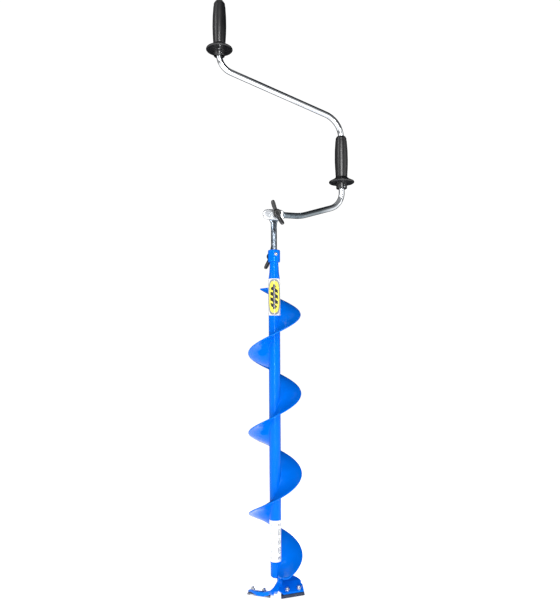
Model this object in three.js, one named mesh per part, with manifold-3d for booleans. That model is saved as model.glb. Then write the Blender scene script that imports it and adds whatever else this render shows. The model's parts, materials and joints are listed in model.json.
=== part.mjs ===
// Hand ice auger: a spiral on a tube, a cutting head with two knives, and a folding
// crank with two turning grips on a telescopic shaft.
// Millimetres, +Z up. Z is the drilling axis, the crank lies along the XZ plane with its
// lower grip at +X, and Z = 0 is the level of the knives' inner tips.
import * as THREE from 'three';
import { mergeVertices } from 'three/addons/utils/BufferGeometryUtils.js';
import Module from 'manifold-3d';

const wasm = await Module();
wasm.setup();

// ---------------------------------------------------------------- driving dimensions

const FIT = 0.3; // gap between two pieces that touch
const DEG = Math.PI / 180;

// drilling tube
const TUBE_RADIUS = 13;
const TUBE_WALL = 1.5;
const TUBE_BOTTOM = 46.5;
const TUBE_FOOT_RADIUS = 11.6;
const TUBE_FOOT_TOP = 78;
const TUBE_SHOULDER = 712;
const NECK_WAIST_RADIUS = 11.2;
const NECK_WAIST = 725;
const NECK_RADIUS = 9.7;
const NECK_STRAIGHT = 750;
const NECK_TOP = 758;

// collar welded on the neck
const COLLAR_RADIUS = 14;
const COLLAR_BOTTOM = 750.5;
const COLLAR_TOP = 778.5;
const CLAMP_Z = 767.5;
const CLAMP_BOLT_RADIUS = 3;

// spiral
const FLIGHT_RADIUS = 60.2;
const FLIGHT_PITCH = 178.5;
const FLIGHT_THICKNESS = 3;
const FLIGHT_Z_AT_ZERO = 95;
const FLIGHT_START = -78;
const FLIGHT_FULL = -60;
const FLIGHT_END = 1205;

// cutting head, given for a knife along +X and then turned by HEAD_AZIMUTH
const HEAD_AZIMUTH = -17;
const KNIFE_INNER = 12;
const KNIFE_LENGTH = 53.1;
const KNIFE_WIDTH = 28;
const KNIFE_THICKNESS = 3;
const KNIFE_BEVEL = 5.5;
const EDGE_BEHIND_AXIS = -2.5;
const EDGE_RISE = 8.7;
const SEAT_SLOPE = 29;
const SEAT_THICKNESS = 5;
const SCREW_PLACES = [16.5, 42.3];
const SCREW_BEHIND_EDGE = 13.5;
const SCREW_RADIUS = 3;

// labels on the tube: heights, and where they start and end round it
const LABEL_GAP = 0.3;
const LABEL_THICKNESS = 0.5;
const UPPER_LABEL = { bottom: 628, top: 711.7, from: -195, to: -8 };
const LOWER_LABEL = { bottom: 83, top: 172.5, from: -198, to: -28 };

// shaft and crank joint
const SHAFT_RADIUS = 7;
const SHAFT_BOTTOM = 445;
const PIVOT_Z = 860;
const FLAT_THICKNESS = 7;
const CRANK_Y = -7.3;
const PIVOT_RADIUS = 4;
const SHAFT_TRAVEL = 150;
const CLAMP_WINGS = { angle: 109, lean: 16 };
const PIVOT_WINGS = { angle: 115, lean: 10 };

// crank
const ROD_RADIUS = 7;
const ARM_BELOW_PIVOT = 0.5;
const ARM_FLAT = { left: -27.6, right: 16, bottom: -12.6, top: 11.4 };
const ARM_GROOVES = { left: -22.2, right: -12.4, depth: 1.2, width: 1.6, bottoms: [1, -4] };
const ARM_ROUND = 23;
const ARM_BEND = { x: 63, radius: 80 };
const LOWER_GRIP_X = 167;
const LOWER_BEND = { z: 891.1, radius: 42 };
const MIDDLE_BEND = { z: 1096, radius: 56 };
const UPPER_GRIP_X = -129;
const UPPER_BEND = { z: 1190, radius: 38 };
const ROD_END_Z = 1326;
const LOWER_GRIP_BOTTOM = 931;
const UPPER_GRIP_BOTTOM = 1215.5;
const GRIP_LENGTH = 127;
const GRIP_BORE = 7.3;
const GRIP_MOUTH_RADIUS = 10.2;
const GRIP_MOUTH_DEPTH = 11;

// ---------------------------------------------------------------- materials

const finish = (color, roughness, metalness) => () =>
  new THREE.MeshStandardMaterial({ color, roughness, metalness });
const blueEnamel = finish(0x0a6cf0, 0.28, 0.1);
const chrome = finish(0xe8edf2, 0.1, 1);
const zinc = finish(0xb4bcc4, 0.32, 1);
const knifeSteel = finish(0x3a3f46, 0.35, 1);
const blackPlastic = finish(0x1b1b1d, 0.5, 0);
const greyPlastic = finish(0x55585c, 0.5, 0);
const labelFilm = finish(0xf4f5f6, 0.25, 0);

// ---------------------------------------------------------------- geometry helpers

const v3 = (x, y, z) => new THREE.Vector3(x, y, z);

/** A closed mesh with merged corners, no collapsed triangles and its faces outward. */
function closedMesh(geometry) {
  const bare = geometry.clone();
  for (const name of Object.keys(bare.attributes)) {
    if (name !== 'position') bare.deleteAttribute(name);
  }
  const merged = mergeVertices(bare, 1e-4);
  const position = merged.attributes.position;
  const corners = merged.index.array;
  const kept = [];
  const [a, b, c] = [v3(), v3(), v3()];
  let volume = 0;
  for (let i = 0; i < corners.length; i += 3) {
    const [p, q, r] = [corners[i], corners[i + 1], corners[i + 2]];
    if (p === q || q === r || r === p) continue;
    kept.push([p, q, r]);
    a.fromBufferAttribute(position, p);
    b.fromBufferAttribute(position, q);
    c.fromBufferAttribute(position, r);
    volume += a.dot(b.cross(c));
  }
  merged.setIndex(kept.flatMap(([p, q, r]) => (volume < 0 ? [p, r, q] : [p, q, r])));
  return merged;
}

/** The boolean library's solid for a three.js geometry. */
function solid(geometry) {
  const mesh = closedMesh(geometry);
  const vertProperties = new Float32Array(mesh.attributes.position.array);
  const triVerts = new Uint32Array(mesh.index.array);
  return new wasm.Manifold(new wasm.Mesh({ numProp: 3, vertProperties, triVerts }));
}

/** The three.js geometry of a solid. */
function shell(manifold) {
  const { vertProperties, triVerts } = manifold.getMesh();
  const geometry = new THREE.BufferGeometry();
  geometry.setAttribute('position', new THREE.BufferAttribute(vertProperties, 3));
  geometry.setIndex(new THREE.BufferAttribute(triVerts, 1));
  return geometry;
}

const cut = (body, ...tools) => shell(tools.reduce((left, tool) => left.subtract(solid(tool)), solid(body)));
const join = (...bodies) => shell(bodies.map(solid).reduce((all, next) => all.add(next)));

/** A turned piece about Z from [radius, z] pairs. */
function turned(profile, segments = 40) {
  const points = profile.map(([radius, z]) => new THREE.Vector2(radius, z));
  return new THREE.LatheGeometry(points, segments).rotateX(Math.PI / 2);
}

/** A round bar along Z from low to high. */
function bar(radius, low, high, segments = 24) {
  return new THREE.CylinderGeometry(radius, radius, high - low, segments)
    .rotateX(Math.PI / 2)
    .translate(0, 0, (low + high) / 2);
}

/** Turns a piece made along Z so that it runs along -Y, towards the front. */
const toFront = (geometry) => geometry.rotateX(Math.PI / 2);

/** Turns a piece made along Z so that it runs along +Y, towards the back. */
const toBack = (geometry) => geometry.rotateX(-Math.PI / 2);

/** A block between two opposite corners. */
function block(low, high) {
  const size = high.map((value, i) => value - low[i]);
  const middle = high.map((value, i) => (value + low[i]) / 2);
  return new THREE.BoxGeometry(...size).translate(...middle);
}

/** A closed solid through rings of equally many points, with flat ends. */
function loft(rings) {
  const count = rings[0].length;
  const positions = rings.flat().flatMap((point) => point.toArray());
  const index = [];
  for (let r = 0; r + 1 < rings.length; r += 1) {
    for (let i = 0; i < count; i += 1) {
      const next = (i + 1) % count;
      const [a, b] = [r * count + i, r * count + next];
      const [c, d] = [a + count, b + count];
      index.push(a, b, d, a, d, c);
    }
  }
  const last = (rings.length - 1) * count;
  for (let i = 1; i + 1 < count; i += 1) {
    index.push(0, i + 1, i, last, last + i, last + i + 1);
  }
  const geometry = new THREE.BufferGeometry();
  geometry.setAttribute('position', new THREE.Float32BufferAttribute(positions, 3));
  geometry.setIndex(index);
  return geometry;
}

/** An outline of [x, y] pairs raised along Z. */
function plate(outline, thickness, curveSegments = 12) {
  const shape = Array.isArray(outline)
    ? new THREE.Shape(outline.map(([x, y]) => new THREE.Vector2(x, y)))
    : outline;
  return new THREE.ExtrudeGeometry(shape, { depth: thickness, bevelEnabled: false, curveSegments });
}

/** A ring of points shaped between a circle and a rounded box, about centre, across the two half axes. */
function roundedRing(centre, halfA, halfB, squareness, count = 20) {
  return Array.from({ length: count }, (_, i) => {
    const angle = (i / count) * 2 * Math.PI;
    const power = 2 / squareness;
    const along = Math.sign(Math.cos(angle)) * Math.abs(Math.cos(angle)) ** power;
    const across = Math.sign(Math.sin(angle)) * Math.abs(Math.sin(angle)) ** power;
    return centre.clone().addScaledVector(halfA, along).addScaledVector(halfB, across);
  });
}

const auger = new THREE.Group();

function add(name, geometry, material, parent = auger) {
  const mesh = new THREE.Mesh(closedMesh(geometry), material());
  mesh.name = name;
  parent.add(mesh);
  return mesh;
}

// ---------------------------------------------------------------- tube, collar, spiral

function augerTube() {
  const bore = TUBE_RADIUS - TUBE_WALL;
  return turned([
    [0, TUBE_BOTTOM],
    [TUBE_FOOT_RADIUS - 3.5, TUBE_BOTTOM],
    [TUBE_FOOT_RADIUS - 1, TUBE_BOTTOM + 1.2],
    [TUBE_FOOT_RADIUS, TUBE_BOTTOM + 4],
    [TUBE_FOOT_RADIUS, TUBE_FOOT_TOP],
    [TUBE_RADIUS, TUBE_FOOT_TOP + 4],
    [TUBE_RADIUS, TUBE_SHOULDER],
    [NECK_WAIST_RADIUS, NECK_WAIST],
    [NECK_RADIUS, NECK_STRAIGHT],
    [NECK_RADIUS, NECK_TOP],
    [NECK_RADIUS - TUBE_WALL, NECK_TOP],
    [NECK_RADIUS - TUBE_WALL, NECK_STRAIGHT],
    [NECK_WAIST_RADIUS - TUBE_WALL, NECK_WAIST],
    [bore, TUBE_SHOULDER],
    [bore, TUBE_FOOT_TOP + 6],
    [0, TUBE_FOOT_TOP + 6],
  ], 32);
}

function topCollar() {
  const counterbore = NECK_RADIUS + FIT;
  const body = turned([
    [counterbore, COLLAR_BOTTOM],
    [COLLAR_RADIUS - 1, COLLAR_BOTTOM],
    [COLLAR_RADIUS, COLLAR_BOTTOM + 1.2],
    [COLLAR_RADIUS, COLLAR_TOP - 2.6],
    [COLLAR_RADIUS - 0.9, COLLAR_TOP - 0.8],
    [COLLAR_RADIUS - 2.6, COLLAR_TOP],
    [SHAFT_RADIUS + FIT, COLLAR_TOP],
    [SHAFT_RADIUS + FIT, NECK_TOP + FIT],
    [counterbore, NECK_TOP + FIT],
    [counterbore, COLLAR_BOTTOM],
  ], 32);
  const hole = toBack(bar(CLAMP_BOLT_RADIUS + FIT, -20, 20, 20)).translate(0, 0, CLAMP_Z);
  return cut(body, hole);
}

function flightHeight(angle) {
  return FLIGHT_Z_AT_ZERO + (FLIGHT_PITCH * angle) / 360;
}

function flightInnerRadius(z) {
  const onFoot = TUBE_FOOT_RADIUS + FIT;
  const onTube = TUBE_RADIUS + FIT;
  const share = THREE.MathUtils.clamp((z + FLIGHT_THICKNESS - TUBE_FOOT_TOP) / 4, 0, 1);
  return THREE.MathUtils.lerp(onFoot, onTube, share);
}

function flightOuterRadius(angle) {
  const share = THREE.MathUtils.clamp((angle - FLIGHT_START) / (FLIGHT_FULL - FLIGHT_START), 0, 1);
  const start = TUBE_FOOT_RADIUS + 4;
  return THREE.MathUtils.lerp(start, FLIGHT_RADIUS, Math.sin((share * Math.PI) / 2) ** 0.8);
}

function spiralFlight() {
  const rings = [];
  const swept = 8;
  const steps = 176;
  const angles = [
    ...Array.from({ length: swept }, (_, i) => FLIGHT_START + ((FLIGHT_FULL - FLIGHT_START) * i) / swept),
    ...Array.from({ length: steps + 1 }, (_, i) => FLIGHT_FULL + ((FLIGHT_END - FLIGHT_FULL) * i) / steps),
  ];
  for (const angle of angles) {
    const z = flightHeight(angle);
    const [inner, outer] = [flightInnerRadius(z), flightOuterRadius(angle)];
    const turn = (angle + HEAD_AZIMUTH) * DEG;
    const at = (radius, height) => v3(radius * Math.cos(turn), radius * Math.sin(turn), height);
    const [low, high] = [z - FLIGHT_THICKNESS / 2, z + FLIGHT_THICKNESS / 2];
    rings.push([at(inner, low), at(outer, low), at(outer, high), at(inner, high)]);
  }
  return loft(rings);
}

/** A thin label wrapped part of the way round the tube. */
function wrappedLabel({ bottom, top, from, to }) {
  const inner = TUBE_RADIUS + LABEL_GAP;
  const [a, b] = [(from + HEAD_AZIMUTH) * DEG, (to + HEAD_AZIMUTH) * DEG];
  const shape = new THREE.Shape();
  shape.absarc(0, 0, inner + LABEL_THICKNESS, a, b, false);
  shape.absarc(0, 0, inner, b, a, true);
  shape.closePath();
  return plate(shape, top - bottom, 16).translate(0, 0, bottom);
}

add('auger_tube', augerTube(), blueEnamel);
add('top_collar', topCollar(), blueEnamel);
add('spiral_flight', spiralFlight(), blueEnamel);
add('upper_label', wrappedLabel(UPPER_LABEL), labelFilm);
add('lower_label', wrappedLabel(LOWER_LABEL), labelFilm);

// ---------------------------------------------------------------- cutting head

/** From the knife's own plane (along the edge, up the slope, square to it) to the auger's frame. */
const knifePlane = new THREE.Matrix4()
  .makeTranslation(KNIFE_INNER, EDGE_BEHIND_AXIS, 0)
  .multiply(new THREE.Matrix4().makeRotationY(-EDGE_RISE * DEG))
  .multiply(new THREE.Matrix4().makeRotationX(SEAT_SLOPE * DEG));

const SEAT_BOTTOM = KNIFE_THICKNESS + FIT;
const SEAT_TOP = SEAT_BOTTOM + SEAT_THICKNESS;

function atScrews(makePiece) {
  return SCREW_PLACES.map((place) => makePiece().translate(place, SCREW_BEHIND_EDGE, 0));
}

function knife() {
  const outline = [[0, 0], [KNIFE_LENGTH, 0], [KNIFE_LENGTH - 2.2, KNIFE_WIDTH], [2, KNIFE_WIDTH]];
  const blade = plate(outline, KNIFE_THICKNESS);
  const bevel = loft([-5, KNIFE_LENGTH + 5].map((x) => [
    v3(x, -4, -KNIFE_THICKNESS * (4 / KNIFE_BEVEL)),
    v3(x, KNIFE_BEVEL, KNIFE_THICKNESS),
    v3(x, KNIFE_BEVEL, KNIFE_THICKNESS + 4),
    v3(x, -4, KNIFE_THICKNESS + 4),
  ]));
  const bore = SCREW_RADIUS + FIT;
  const holes = atScrews(() => turned([[0, -1], [6.6, -1], [bore, 2.5], [bore, 5], [0, 5]], 20));
  return cut(blade, bevel, ...holes).applyMatrix4(knifePlane);
}

function knifeScrew() {
  return turned([
    [0, 0.1],
    [5, 0.1],
    [5, 0.5],
    [SCREW_RADIUS, 2.6],
    [SCREW_RADIUS, 16.6],
    [SCREW_RADIUS - 0.7, 17.3],
    [0, 17.3],
  ], 20);
}

function hexNut(acrossFlats, thickness, bore) {
  const body = new THREE.CylinderGeometry(acrossFlats / Math.sqrt(3), acrossFlats / Math.sqrt(3), thickness, 6)
    .rotateX(Math.PI / 2)
    .translate(0, 0, thickness / 2);
  return cut(body, bar(bore, -1, thickness + 1, 20));
}

/** The neck of each carrier, as rings of four corners from the plate up to the side of the tube's foot. */
const NECKS = [
  [
    [[16, 14, 17], [3, 20, 18.5], [3, 29, 26], [20, 27, 24]],
    [[12.5, 8, 34], [2.5, 13, 34], [2.5, 20, 36], [15, 16, 35]],
    [[11, 6, 45], [3, 10.5, 45], [3, 15.5, 45], [14, 10, 45]],
    [[11, 6, 53], [3, 10.5, 53], [3, 15, 53], [13.5, 9.5, 53]],
  ],
  [
    [[16, 19, 20], [-3.5, 20, 18], [-4.5, 32, 28], [15, 32.5, 28]],
    [[4.8, 14, 31], [-6, 13, 31], [-7.5, 25, 35], [4.8, 25, 34]],
    [[-1.6, 8, 39], [-9.2, 8, 39], [-9.8, 17.5, 41], [-1.6, 17.5, 40]],
    [[-4.8, 7, 46], [-10.4, 6, 46], [-10.4, 12.5, 46], [-4.8, 14.5, 46]],
    [[-4.8, 7, 53], [-10.4, 6, 53], [-10.2, 12, 53], [-4.8, 14, 53]],
  ],
];

/** How deep the trailing rim of each carrier is. */
const RIM_DEPTHS = [5, 9];

/** The sloping seat, the flatter plate behind it and the neck that rises to the tube. */
function knifeCarrier(neckRings, rimDepth) {
  const outline = [[6.3, 6.3], [52.2, 6.3], [52, 15], [50.4, 23], [47, 30], [42, 36], [-4, 36], [-6, 19]];
  const seat = plate(outline, SEAT_THICKNESS)
    .translate(0, 0, SEAT_BOTTOM)
    .applyMatrix4(knifePlane);
  const rib = (inner, outer, depth) => {
    const drop = v3(0, 0, -depth);
    return [v3(...inner), v3(...outer), v3(...outer).add(drop), v3(...inner).add(drop)];
  };
  const back = loft([
    rib([5, 22.5, 22.6], [57, 22.5, 30.2], SEAT_THICKNESS),
    rib([4.3, 25.4, 24.6], [54.5, 26.5, 31.4], SEAT_THICKNESS),
    rib([3.5, 28.5, 28], [48, 35, 32.6], (SEAT_THICKNESS + rimDepth) / 2),
    rib([3.5, 28, 30.5], [40, 42.8, 33.3], rimDepth),
    rib([3.5, 26, 32], [27, 48, 33.8], rimDepth),
    rib([3.5, 23, 33.8], [14.5, 45.5, 35.3], rimDepth),
  ]);
  const neck = loft(neckRings.map((ring) => ring.map((corner) => v3(...corner))));
  const tubeRoom = bar(TUBE_FOOT_RADIUS + FIT, TUBE_BOTTOM - FIT, 70, 48);
  const holes = atScrews(() => bar(SCREW_RADIUS + FIT, -2, 14, 20))
    .map((hole) => hole.applyMatrix4(knifePlane));
  return cut(join(seat, back, neck), tubeRoom, ...holes);
}

for (const side of [0, 1]) {
  const turn = new THREE.Group();
  turn.rotation.z = (HEAD_AZIMUTH + 180 * side) * DEG;
  auger.add(turn);
  add(`knife_carrier_${side + 1}`, knifeCarrier(NECKS[side], RIM_DEPTHS[side]), blueEnamel, turn);
  add(`knife_${side + 1}`, knife(), knifeSteel, turn);
  SCREW_PLACES.forEach((place, i) => {
    const number = 2 * side + i + 1;
    const put = (geometry, height) =>
      geometry.translate(place, SCREW_BEHIND_EDGE, height).applyMatrix4(knifePlane);
    add(`knife_screw_${number}`, put(knifeScrew(), 0), zinc, turn);
    add(`knife_nut_${number}`, put(hexNut(10, 5, SCREW_RADIUS + FIT), SEAT_TOP + FIT), zinc, turn);
  });
}

// ---------------------------------------------------------------- clamp of the telescopic shaft

function ringWasher(bore, outer, thickness) {
  return turned([[bore, 0], [outer, 0], [outer, thickness], [bore, thickness], [bore, 0]], 24);
}

/** A winged knob on +Z: a hub with a blind bore and two wings that lean forward. */
function wingKnob(bore, { angle: wingAngle, lean }) {
  const [hubRadius, hubLength, boreDepth] = [9.4, 18, 13.5];
  const [reach, wingMiddle] = [30, 8];
  const hub = turned([
    [0, hubLength],
    [hubRadius - 3, hubLength],
    [hubRadius - 0.8, hubLength - 1.6],
    [hubRadius, hubLength - 5],
    [hubRadius, 1],
    [hubRadius - 0.8, 0],
    [bore, 0],
    [bore, boreDepth],
    [0, boreDepth],
  ], 22);
  const wing = (angle) => {
    const out = v3(Math.cos(angle * DEG), Math.sin(angle * DEG), 0);
    const across = v3(-out.y, out.x, 0);
    const section = (distance, width, depth) => {
      const share = (distance - 5) / (reach - 5);
      const centre = out.clone().multiplyScalar(distance).add(v3(0, 0, wingMiddle + lean * share));
      return roundedRing(centre, across.clone().multiplyScalar(width / 2), v3(0, 0, depth / 2), 2.6, 12);
    };
    return loft([
      section(5, 12, 13),
      section(12, 10.4, 11),
      section(20, 9.8, 8.6),
      section(27, 9, 7.4),
      section(reach, 5.2, 4.6),
    ]);
  };
  const room = bar(bore, -1, boreDepth, 20);
  return cut(join(hub, wing(wingAngle), wing(wingAngle + 180)), room);
}

const CLAMP_FACE = COLLAR_RADIUS + FIT;
const CLAMP_WASHER = 2.5;

function clampBolt() {
  return toFront(turned([
    [0, CLAMP_FACE + 3],
    [1.9, CLAMP_FACE + 2.7],
    [3.2, CLAMP_FACE + 1.7],
    [3.8, CLAMP_FACE],
    [CLAMP_BOLT_RADIUS, CLAMP_FACE],
    [CLAMP_BOLT_RADIUS, -CLAMP_FACE - CLAMP_WASHER - 12.5],
    [0, -CLAMP_FACE - CLAMP_WASHER - 12.5],
  ], 24)).translate(0, 0, CLAMP_Z);
}

const onClamp = (geometry, distance) => toBack(geometry.translate(0, 0, distance)).translate(0, 0, CLAMP_Z);
add('clamp_bolt', clampBolt(), zinc);
add('clamp_washer', onClamp(ringWasher(CLAMP_BOLT_RADIUS + FIT, 7.5, CLAMP_WASHER), CLAMP_FACE), zinc);
const clampNut = wingKnob(CLAMP_BOLT_RADIUS + FIT, CLAMP_WINGS);
add('clamp_wing_nut', onClamp(clampNut, CLAMP_FACE + CLAMP_WASHER + FIT), blackPlastic);

// ---------------------------------------------------------------- telescopic shaft

/** A round bar pressed flat at its top, with a long slot that slides past the clamp bolt. */
function telescopicShaft() {
  const straight = loft([
    [SHAFT_BOTTOM, SHAFT_RADIUS, 2],
    [PIVOT_Z - 46, SHAFT_RADIUS, 2],
    [PIVOT_Z - 38, (SHAFT_RADIUS + FLAT_THICKNESS / 2) / 2 + 0.4, 2.3],
    [PIVOT_Z - 32, FLAT_THICKNESS / 2, 3],
    [PIVOT_Z - 16, FLAT_THICKNESS / 2, 3],
  ].map(([z, halfDepth, squareness]) =>
    roundedRing(v3(0, 0, z), v3(SHAFT_RADIUS, 0, 0), v3(0, halfDepth, 0), squareness, 28)));
  const outline = new THREE.Shape();
  outline.moveTo(-SHAFT_RADIUS, -20);
  outline.lineTo(SHAFT_RADIUS, -20);
  outline.quadraticCurveTo(11, -15, 11, -9);
  outline.lineTo(11, 6);
  outline.quadraticCurveTo(11, 11.5, 5.5, 11.5);
  outline.lineTo(-5.5, 11.5);
  outline.quadraticCurveTo(-11, 11.5, -11, 6);
  outline.lineTo(-11, -9);
  outline.quadraticCurveTo(-11, -15, -SHAFT_RADIUS, -20);
  const flat = toFront(plate(outline, FLAT_THICKNESS, 6)).translate(0, FLAT_THICKNESS / 2, PIVOT_Z);
  const pivotHole = toBack(bar(PIVOT_RADIUS + FIT, -10, 10)).translate(0, 0, PIVOT_Z);
  const halfSlot = CLAMP_BOLT_RADIUS + FIT;
  const slotTop = CLAMP_Z + halfSlot;
  const slotBottom = CLAMP_Z - SHAFT_TRAVEL - halfSlot;
  const slot = block([-halfSlot, -10, slotBottom], [halfSlot, 10, slotTop + 0.3]);
  return cut(join(straight, flat), pivotHole, slot);
}

function guideBush() {
  const [inner, outer] = [SHAFT_RADIUS + FIT, TUBE_RADIUS - TUBE_WALL - FIT];
  const profile = [[inner, 0], [outer - 1, 0], [outer, 1], [outer, 19], [outer - 1, 20], [inner, 20], [inner, 0]];
  return turned(profile, 32)
    .translate(0, 0, SHAFT_BOTTOM + 2);
}

add('telescopic_shaft', telescopicShaft(), zinc);
add('shaft_guide_bush', guideBush(), greyPlastic);

// ---------------------------------------------------------------- crank joint

const ARM_BACK = -CRANK_Y - FLAT_THICKNESS / 2;
const ARM_FRONT = -CRANK_Y + FLAT_THICKNESS / 2;
const PIVOT_WASHER = 2.4;
const KNOB_FACE = ARM_FRONT + PIVOT_WASHER + 2 * FIT;
const onPivot = (geometry, distance) => toFront(geometry.translate(0, 0, distance)).translate(0, 0, PIVOT_Z);

function pivotBolt() {
  const headFace = -FLAT_THICKNESS / 2 - FIT;
  const [headRadius, headDepth] = [7.5, 5.3];
  const head = new THREE.CylinderGeometry(headRadius, headRadius, headDepth, 6)
    .rotateX(Math.PI / 2)
    .translate(0, 0, headFace - headDepth / 2);
  return onPivot(join(head, bar(PIVOT_RADIUS, headFace - 1, KNOB_FACE + 12)), 0);
}

add('pivot_bolt', pivotBolt(), zinc);
add('pivot_washer', onPivot(ringWasher(PIVOT_RADIUS + FIT, 8.4, PIVOT_WASHER), ARM_FRONT + FIT), zinc);
add('pivot_wing_knob', onPivot(wingKnob(PIVOT_RADIUS + FIT, PIVOT_WINGS), KNOB_FACE), blackPlastic);

// ---------------------------------------------------------------- crank

/** A round bend in the crank's plane about a centre, from one angle to another. */
class Bend extends THREE.Curve {
  constructor(centre, radius, from, to) {
    super();
    Object.assign(this, { centre, radius, from, to });
  }

  getPoint(t, target = v3()) {
    const angle = THREE.MathUtils.lerp(this.from, this.to, t);
    return target.set(Math.cos(angle), 0, Math.sin(angle)).multiplyScalar(this.radius).add(this.centre);
  }
}

/** A path of straight runs through [x, z, bend radius] corners, joined by round bends. */
function bentPath(corners) {
  const path = new THREE.CurvePath();
  const at = ([x, z]) => v3(x, CRANK_Y, z);
  let start = at(corners[0]);
  for (let i = 1; i + 1 < corners.length; i += 1) {
    const corner = at(corners[i]);
    const radius = corners[i][2];
    const before = corner.clone().sub(at(corners[i - 1])).normalize();
    const after = at(corners[i + 1]).sub(corner).normalize();
    const turn = before.angleTo(after);
    const tangent = radius * Math.tan(turn / 2);
    const from = corner.clone().addScaledVector(before, -tangent);
    const to = corner.clone().addScaledVector(after, tangent);
    const inward = after.clone().sub(before).normalize();
    const centre = corner.clone().addScaledVector(inward, radius / Math.cos(turn / 2));
    const angleOf = (point) => Math.atan2(point.z - centre.z, point.x - centre.x);
    const first = angleOf(from);
    let sweep = angleOf(to) - first;
    sweep = Math.atan2(Math.sin(sweep), Math.cos(sweep));
    path.add(new THREE.LineCurve3(start, from));
    path.add(new Bend(centre, radius, first, first + sweep));
    start = to;
  }
  path.add(new THREE.LineCurve3(start, at(corners[corners.length - 1])));
  return path;
}

function crankRod() {
  const armZ = PIVOT_Z - ARM_BELOW_PIVOT;
  const path = bentPath([
    [ARM_ROUND, armZ],
    [ARM_BEND.x, armZ, ARM_BEND.radius],
    [LOWER_GRIP_X, LOWER_BEND.z, LOWER_BEND.radius],
    [LOWER_GRIP_X, MIDDLE_BEND.z, MIDDLE_BEND.radius],
    [UPPER_GRIP_X, UPPER_BEND.z, UPPER_BEND.radius],
    [UPPER_GRIP_X, ROD_END_Z],
  ]);
  const section = new THREE.Shape();
  section.absarc(0, 0, ROD_RADIUS, 0, 2 * Math.PI);
  const rod = new THREE.ExtrudeGeometry(section, { steps: 84, curveSegments: 7, extrudePath: path });
  const halfHeight = (ARM_FLAT.top - ARM_FLAT.bottom) / 2;
  const swage = loft([
    [ARM_FLAT.right - 3, halfHeight - 0.1, FLAT_THICKNESS / 2, 6],
    [ARM_FLAT.right, halfHeight - 0.1, FLAT_THICKNESS / 2, 5],
    [ARM_FLAT.right + 4, 9.6, 5.6, 2.8],
    [ARM_ROUND + 2, ROD_RADIUS, ROD_RADIUS, 2],
    [ARM_ROUND + 4, ROD_RADIUS - 0.02, ROD_RADIUS - 0.02, 2],
  ].map(([x, halfA, halfB, squareness]) =>
    roundedRing(v3(x, CRANK_Y, armZ), v3(0, 0, halfA), v3(0, halfB, 0), squareness, 24)));
  const { left, right, bottom, top } = ARM_FLAT;
  const outline = new THREE.Shape();
  outline.moveTo(right, bottom);
  outline.lineTo(right, top);
  outline.lineTo(left + 10.6, top);
  outline.quadraticCurveTo(left, top, left, top - 10.4);
  outline.quadraticCurveTo(left, bottom + 3.6, left + 12.6, bottom);
  outline.lineTo(right, bottom);
  const flat = toFront(plate(outline, FLAT_THICKNESS, 6)).translate(0, -ARM_BACK, PIVOT_Z);
  const pivotHole = toFront(bar(PIVOT_RADIUS + FIT, 0, 20)).translate(0, 0, PIVOT_Z);
  const grooves = ARM_GROOVES.bottoms.map((low) => block(
    [ARM_GROOVES.left, -ARM_FRONT - 1, PIVOT_Z + low],
    [ARM_GROOVES.right, -ARM_FRONT + ARM_GROOVES.depth, PIVOT_Z + low + ARM_GROOVES.width],
  ));
  return cut(join(flat, swage, rod), pivotHole, ...grooves);
}

add('crank_rod', crankRod(), chrome);

// ---------------------------------------------------------------- grips

const CAP_BORE = 9.2;
const CAP_DEPTH = 18;

/** [height, radius] pairs of the grip's outside, from the slotted collar to the rounded top. */
const GRIP_OUTSIDE = [
  [0, 12.3],
  [1, 13],
  [13, 13],
  [13.8, 28.4],
  [14.6, 30],
  [16.2, 30.4],
  [17.8, 29.2],
  [21.4, 21],
  [25.9, 14.9],
  [28.4, 13.9],
  [36.4, 14.3],
  [48.4, 15],
  [61.4, 15.5],
  [75.4, 15.6],
  [93.4, 15.1],
  [109.4, 14.1],
  [120.5, 13.3],
  [125, 12],
  [GRIP_LENGTH, 9.8],
];

function grip(counterboreDepth) {
  const outside = GRIP_OUTSIDE.map(([height, radius]) => [radius, height]);
  const bore = counterboreDepth
    ? [
      [CAP_BORE, GRIP_LENGTH],
      [CAP_BORE, GRIP_LENGTH - counterboreDepth],
      [GRIP_BORE, GRIP_LENGTH - counterboreDepth],
    ]
    : [[GRIP_BORE, GRIP_LENGTH]];
  const mouth = [
    [GRIP_BORE, GRIP_MOUTH_DEPTH + 2],
    [GRIP_MOUTH_RADIUS, GRIP_MOUTH_DEPTH],
    [GRIP_MOUTH_RADIUS, 0],
  ];
  const body = turned([...outside, ...bore, ...mouth, outside[0]], 26);
  const [halfSlot, slotTop] = [2.6, 11.5];
  const slots = [
    block([-halfSlot, -20, -1], [halfSlot, 20, slotTop]),
    block([-20, -halfSlot, -1], [20, halfSlot, slotTop]),
  ];
  return cut(body, ...slots);
}

function gripCap() {
  return turned([[0, -3.4], [8.9, -3.4], [8.9, 1.4], [8, 2.8], [4.6, 3.9], [0, 4.2]], 28);
}

const onUpperGrip = (geometry, z) => geometry.translate(UPPER_GRIP_X, CRANK_Y, z);
const upperGripTop = UPPER_GRIP_BOTTOM + GRIP_LENGTH;
add('lower_grip', grip(0).translate(LOWER_GRIP_X, CRANK_Y, LOWER_GRIP_BOTTOM), blackPlastic);
add('upper_grip', onUpperGrip(grip(CAP_DEPTH), UPPER_GRIP_BOTTOM), blackPlastic);
add('upper_grip_cap', onUpperGrip(gripCap(), upperGripTop), greyPlastic);
const retainer = ringWasher(ROD_RADIUS + FIT, 8.8, 1.2);
add('rod_end_retainer', onUpperGrip(retainer, upperGripTop - CAP_DEPTH + FIT), zinc);

export default auger;
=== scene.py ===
"""Looks of a hand ice auger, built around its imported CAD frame. Metres, +Z up."""
import json
import math

import bmesh
import bpy
from mathutils import Matrix, Vector


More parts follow.
